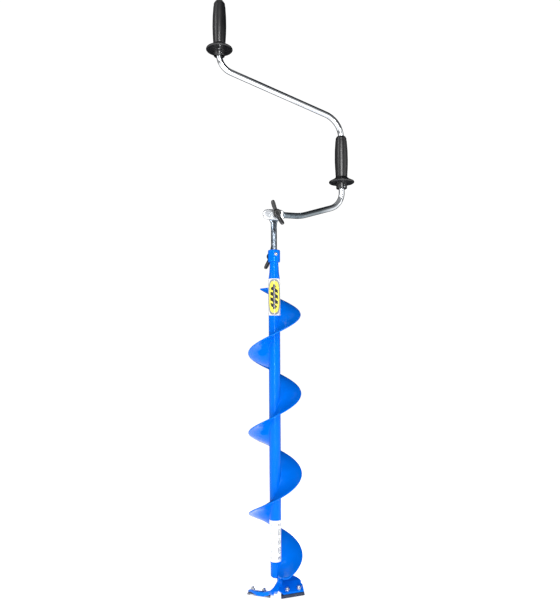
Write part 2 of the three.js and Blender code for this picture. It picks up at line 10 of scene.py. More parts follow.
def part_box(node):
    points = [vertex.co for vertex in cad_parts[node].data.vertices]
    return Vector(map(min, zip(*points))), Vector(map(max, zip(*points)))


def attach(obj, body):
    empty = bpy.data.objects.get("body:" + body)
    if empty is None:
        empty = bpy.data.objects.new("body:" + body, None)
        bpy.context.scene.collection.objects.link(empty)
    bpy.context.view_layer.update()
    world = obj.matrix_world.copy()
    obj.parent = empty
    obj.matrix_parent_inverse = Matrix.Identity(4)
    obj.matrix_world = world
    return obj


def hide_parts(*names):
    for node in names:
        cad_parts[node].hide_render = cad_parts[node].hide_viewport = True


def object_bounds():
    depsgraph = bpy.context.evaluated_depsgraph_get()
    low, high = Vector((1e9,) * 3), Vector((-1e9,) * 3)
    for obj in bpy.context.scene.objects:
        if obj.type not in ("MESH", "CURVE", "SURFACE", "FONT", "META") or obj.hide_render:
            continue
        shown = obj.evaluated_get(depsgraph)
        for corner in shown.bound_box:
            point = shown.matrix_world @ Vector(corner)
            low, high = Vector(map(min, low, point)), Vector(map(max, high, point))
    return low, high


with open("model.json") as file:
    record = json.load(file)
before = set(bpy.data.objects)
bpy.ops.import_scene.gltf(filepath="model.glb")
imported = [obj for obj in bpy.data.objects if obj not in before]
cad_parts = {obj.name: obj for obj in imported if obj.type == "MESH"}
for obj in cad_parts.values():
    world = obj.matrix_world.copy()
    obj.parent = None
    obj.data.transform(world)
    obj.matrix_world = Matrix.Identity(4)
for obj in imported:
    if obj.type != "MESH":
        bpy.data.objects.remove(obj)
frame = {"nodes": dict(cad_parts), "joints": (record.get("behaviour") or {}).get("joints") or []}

MM = 0.001
CAD_BOX = [list(corner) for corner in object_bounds()]


# ------------------------------------------------------------------ the frame's dimensions

def radius_of(node):
    low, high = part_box(node)
    return (high.x - low.x) / 2


def joint_named(name):
    return next(joint for joint in frame["joints"] if joint["name"] == name)


TUBE_LOW, TUBE_HIGH = (corner.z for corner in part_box("auger_tube"))
TUBE_R = radius_of("auger_tube")
COLLAR_LOW, COLLAR_HIGH = (corner.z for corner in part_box("top_collar"))
COLLAR_R = radius_of("top_collar")
PIVOT = Vector(joint_named("crank_fold")["pos_m"])
CLAMP = Vector(joint_named("clamp_knob_turn")["pos_m"])
LOWER_GRIP = Vector(joint_named("lower_grip_spin")["pos_m"])
UPPER_GRIP = Vector(joint_named("upper_grip_spin")["pos_m"])

HEAD_AZIMUTH = math.radians(-17)
FLIGHT_PITCH = 178.5 * MM
FLIGHT_Z_AT_ZERO = 95 * MM
FLIGHT_START, FLIGHT_FULL, FLIGHT_END = -78, -60, 1205  # degrees from the head's azimuth
FLIGHT_R = radius_of("spiral_flight")
FLIGHT_HALF_THICKNESS = 1.5 * MM
FOOT_INSET = 1.4 * MM
FOOT_TOP = 78 * MM

KNIFE_PLANE_CORNER = (12 * MM, -2.5 * MM, 0)
KNIFE_TILT = math.radians(-8.7)
KNIFE_RAKE = math.radians(29)
KNIFE_SCREW_PLACES = (16.5 * MM, 42.3 * MM)
KNIFE_SCREW_BEHIND_EDGE = 13.5 * MM
KNIFE_NUT_HEIGHT = 8.6 * MM

SHAFT_TRAVEL = 150 * MM
SLOT_HALF_WIDTH = 3.3 * MM
ROD_R = 7 * MM
ARM_Z = PIVOT.z - 0.5 * MM
GROOVE_HEIGHTS = (1 * MM, -4 * MM)


# ------------------------------------------------------------------ camera, light and stage

VIEW_AZIMUTH = math.radians(-17)
VIEW_DISTANCE = 1.332
VIEW_HEIGHT = 0.582
VIEW_ASIDE = 0.0131
VIEW_TILT = math.radians(93.5)
VIEW_ROLL = math.radians(-0.34)
STUDIO_STRENGTH = 0.3
BACKDROP_STRENGTH = 1.05
LIGHT_TARGET_HEIGHT = 0.65
FLOOR_REACH = 9
FLOOR_GAP = 0.5 * MM


def around(azimuth, distance, height):
    """A point seen from the object at an azimuth; 0 is the front, -Y."""
    return Vector((math.sin(azimuth) * distance, -math.cos(azimuth) * distance, height))


def make_camera():
    data = bpy.data.cameras.new("camera")
    data.lens = 35
    data.sensor_width = 36
    data.clip_start = 0.05
    camera = bpy.data.objects.new("camera", data)
    aside = Vector((math.cos(VIEW_AZIMUTH), math.sin(VIEW_AZIMUTH), 0)) * VIEW_ASIDE
    turn = Matrix.Rotation(VIEW_AZIMUTH, 4, "Z")
    tilt = Matrix.Rotation(VIEW_TILT, 4, "X")
    roll = Matrix.Rotation(VIEW_ROLL, 4, "Z")
    place = Matrix.Translation(around(VIEW_AZIMUTH, VIEW_DISTANCE, VIEW_HEIGHT) + aside)
    camera.matrix_world = place @ turn @ tilt @ roll
    bpy.context.scene.collection.objects.link(camera)
    bpy.context.scene.camera = camera


def make_light(name, azimuth, distance, height, size, power):
    data = bpy.data.lights.new(name, "AREA")
    data.shape = "RECTANGLE"
    data.size, data.size_y = size
    data.energy = power
    light = bpy.data.objects.new(name, data)
    light.location = around(math.radians(azimuth), distance, height)
    aim = Vector((0, 0, LIGHT_TARGET_HEIGHT)) - light.location
    light.rotation_mode = "QUATERNION"
    light.rotation_quaternion = aim.to_track_quat("-Z", "Y")
    bpy.context.scene.collection.objects.link(light)


def make_world():
    """A white room to the camera that lights the object only softly."""
    world = bpy.data.worlds.new("studio")
    bpy.context.scene.world = world
    world.use_nodes = True
    tree = world.node_tree
    background = tree.nodes["Background"]
    background.inputs["Color"].default_value = (1, 1, 1, 1)
    seen = tree.nodes.new("ShaderNodeLightPath").outputs["Is Camera Ray"]
    strength = tree.nodes.new("ShaderNodeMapRange")
    strength.inputs["To Min"].default_value = STUDIO_STRENGTH
    strength.inputs["To Max"].default_value = BACKDROP_STRENGTH
    tree.links.new(seen, strength.inputs["Value"])
    tree.links.new(strength.outputs["Result"], background.inputs["Strength"])


def make_flag(name, azimuth, distance, size, height, lean=0):
    """A dark card that only shows in reflections, so that metal and enamel get dark edges.

    It stands upright; leaned by 90 degrees it lies flat.
    """
    half_width, half_height = size[0] / 2, size[1] / 2
    mesh = bpy.data.meshes.new(name)
    corners = [(-half_width, 0, -half_height), (half_width, 0, -half_height),
               (half_width, 0, half_height), (-half_width, 0, half_height)]
    mesh.from_pydata(corners, [], [(0, 1, 2, 3)])
    card = bpy.data.objects.new(name, mesh)
    card.location = around(math.radians(azimuth), distance, height)
    card.rotation_euler = (math.radians(lean), 0, math.radians(azimuth))
    material = bpy.data.materials.new(name)
    material.use_nodes = True
    shader = material.node_tree.nodes["Principled BSDF"]
    shader.inputs["Base Color"].default_value = (0.01, 0.012, 0.016, 1)
    shader.inputs["Roughness"].default_value = 1
    shader.inputs["Specular IOR Level"].default_value = 0
    mesh.materials.append(material)
    card.visible_camera = False
    card.visible_diffuse = False
    card.visible_shadow = False
    bpy.context.scene.collection.objects.link(card)


def make_floor():
    """A pale floor just under the knives, lit a little from within so that it meets the backdrop."""
    mesh = bpy.data.meshes.new("floor")
    corners = [(x * FLOOR_REACH, y * FLOOR_REACH, 0) for x, y in ((-1, -1), (1, -1), (1, 1), (-1, 1))]
    mesh.from_pydata(corners, [], [(0, 1, 2, 3)])
    floor = bpy.data.objects.new("floor", mesh)
    floor.location.z = CAD_BOX[0][2] - FLOOR_GAP
    material = bpy.data.materials.new("floor_paint")
    material.use_nodes = True
    shader = material.node_tree.nodes["Principled BSDF"]
    shader.inputs["Base Color"].default_value = (0.98, 0.98, 0.98, 1)
    shader.inputs["Roughness"].default_value = 0.9
    shader.inputs["Emission Color"].default_value = (1, 1, 1, 1)
    shader.inputs["Emission Strength"].default_value = 0.78
    mesh.materials.append(material)
    bpy.context.scene.collection.objects.link(floor)


# ------------------------------------------------------------------ materials

LABEL_UV = "millimetres"


class Look:
    """A material whose nodes are added one by one, ending in a Principled shader."""

    def __init__(self, name):
        self.material = bpy.data.materials.new(name)
        self.material.use_nodes = True
        self.tree = self.material.node_tree
        self.shader = self.tree.nodes["Principled BSDF"]
        self.place = self.node("ShaderNodeTexCoord").outputs["Object"]

    def node(self, kind, **settings):
        made = self.tree.nodes.new(kind)
        for key, value in settings.items():
            setattr(made, key, value)
        return made

    def set(self, **values):
        for key, value in values.items():
            self.shader.inputs[key.replace("_", " ")].default_value = value
        return self

    def wire(self, source, target):
        self.tree.links.new(source, target)

    def stretched(self, scale):
        mapping = self.node("ShaderNodeMapping")
        mapping.inputs["Scale"].default_value = scale
        self.wire(self.place, mapping.inputs["Vector"])
        return mapping.outputs["Vector"]

    def noise(self, scale, detail=4, rough=0.55, stretch=None):
        made = self.node("ShaderNodeTexNoise")
        made.inputs["Scale"].default_value = scale
        made.inputs["Detail"].default_value = detail
        made.inputs["Roughness"].default_value = rough
        self.wire(self.stretched(stretch) if stretch else self.place, made.inputs["Vector"])
        return made.outputs["Fac"]

    def span(self, value, low, high, to_low, to_high):
        """value from low..high to to_low..to_high, held at the ends."""
        made = self.node("ShaderNodeMapRange", clamp=True)
        made.inputs["From Min"].default_value = low
        made.inputs["From Max"].default_value = high
        made.inputs["To Min"].default_value = to_low
        made.inputs["To Max"].default_value = to_high
        self.wire(value, made.inputs["Value"])
        return made.outputs["Result"]

    def math(self, operation, a, b=None):
        made = self.node("ShaderNodeMath", operation=operation)
        for socket, value in zip(made.inputs, (a, b)):
            if value is None:
                continue
            if isinstance(value, (int, float)):
                socket.default_value = value
            else:
                self.wire(value, socket)
        return made.outputs["Value"]

    def mix(self, share, a, b):
        made = self.node("ShaderNodeMix", data_type="RGBA")
        color_sockets = [socket for socket in made.inputs if socket.type == "RGBA"]
        for socket, value in zip(color_sockets, (a, b)):
            if isinstance(value, tuple):
                socket.default_value = (*value, 1)
            else:
                self.wire(value, socket)
        self.wire(share, made.inputs[0])
        return next(o for o in made.outputs if o.type == "RGBA")

    def color(self, source):
        self.wire(source, self.shader.inputs["Base Color"])

    def rough(self, source):
        self.wire(source, self.shader.inputs["Roughness"])

    def bump(self, height, strength, distance):
        made = self.node("ShaderNodeBump")
        made.inputs["Strength"].default_value = strength
        made.inputs["Distance"].default_value = distance
        self.wire(height, made.inputs["Height"])
        self.wire(made.outputs["Normal"], self.shader.inputs["Normal"])


def blue_enamel():
    """Stoved blue enamel: deep gloss with a faint orange peel and light scuffs."""
    look = Look("blue_enamel")
    look.set(Specular_IOR_Level=0.22, Specular_Tint=(0.25, 0.75, 1, 1))
    shade = look.span(look.noise(9, 3), 0.3, 0.7, 0, 1)
    scuffs = look.span(look.noise(160, 8, 0.7, (1, 1, 0.25)), 0.70, 0.82, 0, 0.2)
    paint = look.mix(shade, (0.0, 0.135, 0.69), (0.0, 0.165, 0.79))
    look.color(look.mix(scuffs, paint, (0.005, 0.22, 0.86)))
    look.rough(look.span(look.noise(60, 6), 0.3, 0.75, 0.08, 0.14))
    look.bump(look.noise(420, 2), 0.08, 0.3 * MM)
    return look.material


def chrome():
    """Polished chrome with faint finger marks.

    Below, the flat end is satin and the run beside it dull zinc. The rest of the low arm is painted dark
    grey, a painted reflection of dark surroundings that shows from every side.
    """
    look = Look("crank_chrome")
    look.set(Metallic=1)
    place = look.node("ShaderNodeSeparateXYZ")
    look.wire(look.place, place.inputs[0])
    flat_edge = 19 * MM
    start = look.math("GREATER_THAN", place.outputs["X"], flat_edge)
    end = look.span(place.outputs["X"], 60 * MM, 72 * MM, 1, 0)
    low = look.math("LESS_THAN", place.outputs["Z"], PIVOT.z + 40 * MM)
    dull = look.math("MULTIPLY", low, look.math("MULTIPLY", start, end))
    spangle = look.span(look.noise(150, 5, 0.6), 0.35, 0.68, 0, 1)
    zinc_grey = look.mix(spangle, (0.08, 0.10, 0.12), (0.22, 0.26, 0.29))
    clouds = look.span(look.noise(30, 4), 0.35, 0.7, 0, 1)
    bright = look.mix(clouds, (0.80, 0.83, 0.87), (0.90, 0.92, 0.94))
    # Painted reflection: the low arm beyond the flat end is painted dark grey, fading out between 110
    # and 165 mm, to stand for dark surroundings reflected in the chrome. Nearer the pivot the dull zinc
    # covers it.
    painted_reflection_fade = look.span(place.outputs["X"], 110 * MM, 165 * MM, 1, 0)
    arm = look.math("MULTIPLY", low, look.math("MULTIPLY", start, painted_reflection_fade))
    bright = look.mix(arm, bright, (0.20, 0.23, 0.25))
    look.color(look.mix(dull, bright, zinc_grey))
    marks = look.span(look.noise(55, 6, 0.6), 0.35, 0.75, 0.05, 0.13)
    flat_end = look.math("MULTIPLY", low, look.math("LESS_THAN", place.outputs["X"], flat_edge))
    soft = look.math("MAXIMUM", dull, flat_end)
    look.rough(look.math("ADD", marks, look.math("MULTIPLY", soft, 0.28)))
    look.bump(look.noise(120, 2), 0.006, 0.1 * MM)
    return look.material


def zinc(name, light, dark, low_rough, high_rough):
    """Zinc plate: spangled greys, satin sheen and tiny drawn scratches."""
    look = Look(name)
    look.set(Metallic=1)
    spangle = look.span(look.noise(140, 5, 0.6), 0.35, 0.68, 0, 1)
    look.color(look.mix(spangle, dark, light))
    look.rough(look.span(look.noise(80, 6), 0.3, 0.7, low_rough, high_rough))
    look.bump(look.noise(900, 3, 0.6, (1, 1, 0.12)), 0.12, 0.1 * MM)
    return look.material


def knife_steel():
    """Blued tool steel, ground across the edge."""
    look = Look("knife_steel")
    look.set(Metallic=0.4, Specular_IOR_Level=0.3)
    shade = look.span(look.noise(60, 5), 0.35, 0.7, 0, 1)
    look.color(look.mix(shade, (0.010, 0.016, 0.034), (0.030, 0.040, 0.070)))
    look.rough(look.span(look.noise(200, 4), 0.3, 0.7, 0.3, 0.45))
    look.bump(look.noise(1200, 2, 0.5, (0.15, 1, 1)), 0.2, 0.1 * MM)
    return look.material


def black_plastic():
    """Moulded black plastic with a fine grain and worn, slightly shinier patches."""
    look = Look("black_plastic")
    look.set(Specular_IOR_Level=0.75)
    shade = look.span(look.noise(25, 4), 0.3, 0.75, 0, 1)
    look.color(look.mix(shade, (0.003, 0.003, 0.0035), (0.007, 0.007, 0.008)))
    look.rough(look.span(look.noise(40, 5), 0.3, 0.75, 0.26, 0.38))
    look.bump(look.noise(1500, 3), 0.08, 0.12 * MM)
    return look.material


def grey_plastic():
    look = Look("grey_plastic")
    shade = look.span(look.noise(60, 4), 0.3, 0.75, 0, 1)
    look.color(look.mix(shade, (0.10, 0.105, 0.11), (0.16, 0.165, 0.17)))
    look.rough(look.span(look.noise(60, 5), 0.3, 0.75, 0.4, 0.55))
    look.bump(look.noise(1500, 3), 0.2, 0.12 * MM)
    return look.material


def label_film(name):
    """White gloss film, a little uneven where it was smoothed on.

    Returns the look, its white, and U and V in millimetres from the label's centre.
    """
    look = Look(name)
    look.set(Coat_Weight=0.5, Coat_Roughness=0.08)
    shade = look.span(look.noise(30, 4), 0.3, 0.7, 0, 1)
    white = look.mix(shade, (0.86, 0.87, 0.88), (0.93, 0.94, 0.95))
    look.rough(look.span(look.noise(60, 5), 0.3, 0.7, 0.2, 0.3))
    look.bump(look.noise(90, 2), 0.06, 0.2 * MM)
    flat = look.node("ShaderNodeSeparateXYZ")
    look.wire(look.node("ShaderNodeUVMap", uv_map=LABEL_UV).outputs["UV"], flat.inputs[0])
    return look, white, flat.outputs["X"], flat.outputs["Y"]


def stripes(look, value, shift, half_period, half_width):
    """1 on even stripes across value, 0 between them; the shift keeps value above zero."""
    shifted = look.math("ADD", value, shift)
    return look.math("LESS_THAN", look.math("PINGPONG", shifted, half_period), half_width)


def upper_label_film():
    """A yellow oval in a grey border with a plain black coil on a stem."""
    look, white, u, v = label_film("upper_label_film")

    def bulged(value, half):
        return look.math("POWER", look.math("ABSOLUTE", look.math("DIVIDE", value, half)), 2.8)

    def inside(half_u, half_v):
        reach = look.math("ADD", bulged(u, half_u), bulged(v, half_v))
        return look.math("LESS_THAN", reach, 1.0)

    slanted = look.math("ADD", v, look.math("MULTIPLY", u, 0.55))
    coil = look.math("MULTIPLY", stripes(look, slanted, 60.0, 6.4, 4.1), inside(9.4, 26.0))
    middle = look.math("LESS_THAN", look.math("ABSOLUTE", u), 3.0)
    stem = look.math("MULTIPLY", middle, inside(8.6, 29.0))
    ink = look.math("MAXIMUM", coil, stem)
    base = look.mix(inside(16.4, 41.0), white, (0.26, 0.27, 0.28))
    base = look.mix(inside(13.6, 36.0), base, (0.90, 0.80, 0.10))
    look.color(look.mix(ink, base, (0.02, 0.02, 0.022)))
    return look.material


def lower_label_film():
    """Two columns of plain broken grey rules in groups."""
    look, white, u, v = label_film("lower_label_film")

    def band(value, middle, half):
        distance = look.math("ABSOLUTE", look.math("SUBTRACT", value, middle))
        return look.math("LESS_THAN", distance, half)

    faint_column = look.math("MULTIPLY", band(u, -8.6, 4.2), 0.5)
    columns = look.math("ADD", band(u, 9.0, 4.5), faint_column)
    groups = look.math("MULTIPLY", columns, stripes(look, v, 80.0, 10.0, 7.0))
    ragged = look.math("GREATER_THAN", look.noise(420, 2), 0.44)
    strokes = look.math("MULTIPLY", stripes(look, u, 80.0, 1.6, 1.0), ragged)
    marks = look.math("MULTIPLY", groups, strokes)
    marks = look.math("MULTIPLY", marks, band(v, 0.0, 39.0))
    look.color(look.mix(marks, white, (0.16, 0.17, 0.19)))
    return look.material


BLUE = blue_enamel()
CHROME = chrome()
SHAFT_ZINC = zinc("shaft_zinc", (0.35, 0.40, 0.46), (0.10, 0.13, 0.17), 0.20, 0.34)
SCREW_ZINC = zinc("screw_zinc", (0.74, 0.76, 0.78), (0.58, 0.60, 0.62), 0.2, 0.32)
STEEL = knife_steel()
BLACK = black_plastic()
GREY = grey_plastic()


# ------------------------------------------------------------------ mesh helpers

ORIGIN = (0, 0, 0)
UP = (0, 0, 1)
WELD_DISTANCE = 0.005 * MM
STRAIGHT_ENOUGH = math.radians(176)


def raw_object(name, verts, faces):
    """A closed mesh object, welded where points meet, with its faces turned outwards."""
    mesh = bpy.data.meshes.new(name)
    mesh.from_pydata([tuple(v) for v in verts], [], faces)
    work = bmesh.new()
    work.from_mesh(mesh)
    bmesh.ops.remove_doubles(work, verts=work.verts, dist=WELD_DISTANCE)
    bmesh.ops.recalc_face_normals(work, faces=work.faces)
    work.to_mesh(mesh)
    work.free()
    made = bpy.data.objects.new(name, mesh)
    bpy.context.scene.collection.objects.link(made)
    return made


def paint(made, material, sharp):
    """A material and smooth shading, with edges sharper than an angle in degrees left crisp."""
    made.data.materials.clear()
    made.data.materials.append(material)
    made.data.shade_smooth()
    made.data.set_sharp_from_angle(angle=math.radians(sharp))


def finish_piece(made, body, node, material, sharp=40):
    """Paints a piece, ties it to the body it rides on and hides the CAD node it stands for."""
    paint(made, material, sharp)
    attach(made, body)
    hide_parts(node)


def piece(name, verts, faces, body, node, slot, material, sharp=40):
    """A new finished mesh piece."""
    made = raw_object(name, verts, faces)
    finish_piece(made, body, node, material, sharp)
    return made


def rings_to_mesh(rings, closed=False):
    """Faces through rings of equally many points, capped at both ends or closed on themselves."""
    count = len(rings[0])
    verts = [point for ring in rings for point in ring]
    faces = []
    spans = len(rings) if closed else len(rings) - 1
    for r in range(spans):
        a0, b0 = r * count, ((r + 1) % len(rings)) * count
        for i in range(count):
            j = (i + 1) % count
            faces.append((a0 + i, a0 + j, b0 + j, b0 + i))
    if not closed:
        faces.append(tuple(range(count - 1, -1, -1)))
        faces.append(tuple(range((len(rings) - 1) * count, len(rings) * count)))
    return verts, faces


def turned(profile, steps=72):
    """Faces about Z for a loop of (radius, z) points, which closes on itself or on the axis."""
    rings = []
    for i in range(steps):
        angle = 2 * math.pi * i / steps
        c, s = math.cos(angle), math.sin(angle)
        rings.append([Vector((r * c, r * s, z)) for r, z in profile])
    return rings_to_mesh(rings, closed=True)


def rounded(profile, radius, steps=4):
    """The (radius, z) profile with its corners rounded; a third value is that corner's own radius."""
    out = []
    count = len(profile)
    for i, corner in enumerate(profile):
        here = Vector(corner[:2])
        own = corner[2] if len(corner) > 2 else radius
        before = Vector(profile[i - 1][:2]) - here
        after = Vector(profile[(i + 1) % count][:2]) - here
        if own <= 0 or before.length < 1e-9 or after.length < 1e-9:
            out.append(tuple(here))
            continue
        turn = before.angle(after, math.pi)
        if turn > STRAIGHT_ENOUGH:
            out.append(tuple(here))
            continue
        reach = min(own / math.tan(turn / 2), 0.45 * before.length, 0.45 * after.length)
        start = here + before.normalized() * reach
        end = here + after.normalized() * reach
        for k in range(steps + 1):
            t = k / steps
            out.append(tuple((1 - t) ** 2 * start + 2 * t * (1 - t) * here + t ** 2 * end))
    return out


def turned_piece(name, profile, place, axis, finish, rounding=0.3 * MM, steps=72):
    """A turned piece whose own Z runs along axis from place; finish is body, node, slot, material."""
    verts, faces = turned(rounded(profile, rounding), steps)
    spin = Vector((0, 0, 1)).rotation_difference(Vector(axis)).to_matrix()
    verts = [spin @ v + Vector(place) for v in verts]
    piece(name, verts, faces, *finish)


def oval_ring(centre, half_a, half_b, squareness, count):
    """Points round centre, across half_a and half_b: an ellipse at squareness 2, a box far above it."""
    ring = []
    power = 2 / squareness
    for i in range(count):
        angle = 2 * math.pi * i / count
        c, s = math.cos(angle), math.sin(angle)
        a, b = math.copysign(abs(c) ** power, c), math.copysign(abs(s) ** power, s)
        ring.append(centre + half_a * a + half_b * b)
    return ring


def hexagon_radius(apothem, angle):
    """How far a hexagon's side is from its centre at an angle."""
    local = (angle % (math.pi / 3)) - math.pi / 6
    return apothem / math.cos(local)


def hexagon_corner(apothem):
    return apothem / math.cos(math.pi / 6)


def apply_modifiers(made):
    graph = bpy.context.evaluated_depsgraph_get()
    mesh = bpy.data.meshes.new_from_object(made.evaluated_get(graph))
    made.modifiers.clear()
    made.data = mesh


def fused(parts, voxel, smoothing):
    """One smooth skin round several overlapping solids."""
    first = parts[0]
    work = bmesh.new()
    for part in parts:
        work.from_mesh(part.data)
    work.to_mesh(first.data)
    work.free()
    for part in parts[1:]:
        bpy.data.objects.remove(part)
    remesh = first.modifiers.new("remesh", "REMESH")
    remesh.mode = "VOXEL"
    remesh.voxel_size = voxel
    smooth = first.modifiers.new("smooth", "SMOOTH")
    smooth.iterations = smoothing
    smooth.factor = 0.5
    apply_modifiers(first)
    return first


# ------------------------------------------------------------------ tube, collar, spiral, labels

def make_tube():
    foot, wall = TUBE_R - FOOT_INSET, 1.5 * MM
    shoulder = TUBE_HIGH - 46 * MM
    waist, neck = TUBE_R - 1.8 * MM, TUBE_R - 3.3 * MM
    low = TUBE_LOW
    profile = [
        (0, low, 0),
        (foot - 4 * MM, low, 1 * MM),
        (foot, low + 3.4 * MM, 4 * MM),
        (foot, low + 31 * MM, 6 * MM),
        (TUBE_R, low + 36 * MM, 6 * MM),
        (TUBE_R, shoulder, 8 * MM),
        (waist, shoulder + 13 * MM, 16 * MM),
        (neck, shoulder + 38 * MM, 8 * MM),
        (neck, TUBE_HIGH),
        (neck - wall, TUBE_HIGH),
        (neck - wall, shoulder + 20 * MM, 0),
        (0, shoulder + 20 * MM, 0),
    ]
    finish = ("auger", "auger_tube", "blue_enamel", BLUE)
    turned_piece("tube_skin", profile, ORIGIN, UP, finish, steps=96)


def make_collar():
    bore = 7.3 * MM
    counterbore = 9.9 * MM
    profile = [
        (counterbore, COLLAR_LOW),
        (COLLAR_R - 0.3 * MM, COLLAR_LOW, 1.6 * MM),
        (COLLAR_R, COLLAR_LOW + 6 * MM, 8 * MM),
        (COLLAR_R, COLLAR_HIGH, 2.8 * MM),
        (bore, COLLAR_HIGH, 0.5 * MM),
        (bore, COLLAR_LOW + 7.4 * MM, 0),
        (counterbore, COLLAR_LOW + 7.4 * MM, 0),
    ]
    finish = ("auger", "top_collar", "blue_enamel", BLUE)
    turned_piece("collar_skin", profile, ORIGIN, UP, finish, steps=96)


def flight_height(angle):
    """Z of the sheet's middle at an angle in degrees."""
    return FLIGHT_Z_AT_ZERO + FLIGHT_PITCH * angle / 360


def flight_outer(angle):
    """The rim's radius, which grows quickly from the tube at the lower end."""
    share = min(1, max(0, (angle - FLIGHT_START) / (FLIGHT_FULL - FLIGHT_START)))
    start = TUBE_R + 2 * MM
    return start + (FLIGHT_R - start) * math.sin(share * math.pi / 2) ** 0.8


def flight_root(z):
    """The root's radius, which follows the tube's narrower foot."""
    share = min(1, max(0, (z + 3 * MM - FOOT_TOP) / (4 * MM)))
    return TUBE_R - FOOT_INSET + share * FOOT_INSET


def make_spiral():
    """Sheet spiral with a rounded rim and a weld fillet along its root, above and below."""
    half = FLIGHT_HALF_THICKNESS
    rings = []
    start_steps, steps = 20, 620
    growth, run = FLIGHT_FULL - FLIGHT_START, FLIGHT_END - FLIGHT_FULL
    angles = [FLIGHT_START + growth * i / start_steps for i in range(start_steps)]
    angles += [FLIGHT_FULL + run * i / steps for i in range(steps + 1)]
    for angle in angles:
        z = flight_height(angle)
        root, rim = flight_root(z) - 0.1 * MM, flight_outer(angle)
        weld = min(2.2 * MM, (rim - root) * 0.3)
        top = [(root, half + weld), (root + 0.35 * weld, half + 0.45 * weld), (root + 1.3 * weld, half)]
        top += [(root + (rim - root) * s, half) for s in (0.35, 0.6, 0.8)]
        top += [(rim - half, half), (rim - 0.3 * half, 0.7 * half), (rim, 0)]
        section = top + [(r, -h) for r, h in reversed(top[:-1])]
        turn = math.radians(angle) + HEAD_AZIMUTH
        c, s = math.cos(turn), math.sin(turn)
        rings.append([Vector((r * c, r * s, z + h)) for r, h in section])
    verts, faces = rings_to_mesh(rings)
    piece("spiral_skin", verts, faces, "auger", "spiral_flight", "blue_enamel", BLUE, sharp=50)


def make_label(name, node, first, last, material):
    """A thin wrapped film whose last edge lifts a little, with a UV map in millimetres from its centre.

    It runs from first to last, in degrees from the cutting head's own direction.
    """
    low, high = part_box(node)
    inner, outer = TUBE_R + 0.12 * MM, TUBE_R + 0.62 * MM
    steps, rows = 90, 24
    start, end = math.radians(first) + HEAD_AZIMUTH, math.radians(last) + HEAD_AZIMUTH
    heights = [low.z + (high.z - low.z) * k / rows for k in range(rows + 1)]
    verts, faces = [], []
    for i in range(steps + 1):
        angle = start + (end - start) * i / steps
        lift = 1.0 + 0.9 * max(0, (i - steps + 3) / 3) ** 2
        for k, z in enumerate(heights):
            ease = 0.35 * MM if k in (0, rows) or i in (0, steps) else 0
            for r in (inner, inner + (outer - inner) * lift - ease):
                verts.append(Vector((r * math.cos(angle), r * math.sin(angle), z)))
    row = 2 * len(heights)

    def at(i, k, side):
        return i * row + 2 * k + side

    top = rows
    for i in range(steps):
        for k in range(top):
            faces.append((at(i, k, 1), at(i + 1, k, 1), at(i + 1, k + 1, 1), at(i, k + 1, 1)))
            faces.append((at(i, k, 0), at(i, k + 1, 0), at(i + 1, k + 1, 0), at(i + 1, k, 0)))
        faces.append((at(i, 0, 0), at(i + 1, 0, 0), at(i + 1, 0, 1), at(i, 0, 1)))
        faces.append((at(i, top, 1), at(i + 1, top, 1), at(i + 1, top, 0), at(i, top, 0)))
    for k in range(top):
        faces.append((at(0, k, 0), at(0, k, 1), at(0, k + 1, 1), at(0, k + 1, 0)))
        faces.append((at(steps, k, 1), at(steps, k, 0), at(steps, k + 1, 0), at(steps, k + 1, 1)))
    made = piece(name, verts, faces, "auger", node, "label_film", material, sharp=60)
    uv = made.data.uv_layers.new(name=LABEL_UV)
    middle_z = (low.z + high.z) / 2
    front = -math.pi / 2 + HEAD_AZIMUTH
    for loop in made.data.loops:
        point = made.data.vertices[loop.vertex_index].co
        angle = math.atan2(point.y, point.x) - front
        angle = math.atan2(math.sin(angle), math.cos(angle))
        uv.data[loop.index].uv = (angle * outer / MM, (point.z - middle_z) / MM)


# ------------------------------------------------------------------ cutting head

def make_carriers():
    """The bent carrier plates, with the soft edges that stoved enamel gives."""
    for side in (1, 2):
        node = f"knife_carrier_{side}"
        copy = bpy.data.objects.new(f"carrier_skin_{side}", frame["nodes"][node].data.copy())
        bpy.context.scene.collection.objects.link(copy)
        skin = fused([copy], 0.5 * MM, 6)
        finish_piece(skin, "auger", node, BLUE, sharp=70)


def hex_nut_mesh(across, thickness, bore):
    """A chamfered hexagon nut on +Z."""
    apothem = across / 2
    levels = [0, 0.06, 0.14, 0.3, 0.5, 0.7, 0.86, 0.94, 1]
    steps = 72
    rings = []
    for i in range(steps):
        angle = 2 * math.pi * i / steps
        c, s = math.cos(angle), math.sin(angle)
        ring = [Vector((bore * c, bore * s, z * thickness)) for z in (1, 0.5, 0)]
        for level in levels:
            inset = 0.9 * MM * max(0, 1 - min(level, 1 - level) / 0.2)
            radius = min(hexagon_radius(apothem, angle), hexagon_corner(apothem) - inset)
            ring.append(Vector((radius * c, radius * s, level * thickness)))
        rings.append(ring)
    return rings_to_mesh(rings, closed=True)


def screw_mesh(radius, low, high, head_radius, head_depth):
    """A threaded shank along Z with a countersunk head at its low end."""
    pitch, thread_depth, rim = 1 * MM, 0.22 * MM, 0.3 * MM
    steps_around = 40
    start = low + head_depth
    rows = [(0, low, 0), (head_radius - rim, low, 0), (head_radius, low + rim, 0), (radius, start, 0)]
    steps = int((high - low) / (pitch / 6))
    for k in range(steps + 1):
        z = start + (high - start) * k / steps
        fade = min(1, (high - z) / (1.2 * MM))
        rows.append((radius - (1 - fade) * 0.5 * MM, z, thread_depth * min(1, fade + 0.2)))
    rows.append((0, high, 0))
    rings = []
    for r, z, depth in rows:
        ring = []
        for i in range(steps_around):
            angle = 2 * math.pi * i / steps_around
            phase = ((z / pitch) - i / steps_around) % 1
            cut = depth * 2 * min(phase, 1 - phase)
            reach = r - cut if r else 0
            ring.append(Vector((reach * math.cos(angle), reach * math.sin(angle), z)))
        rings.append(ring)
    return rings_to_mesh(rings)


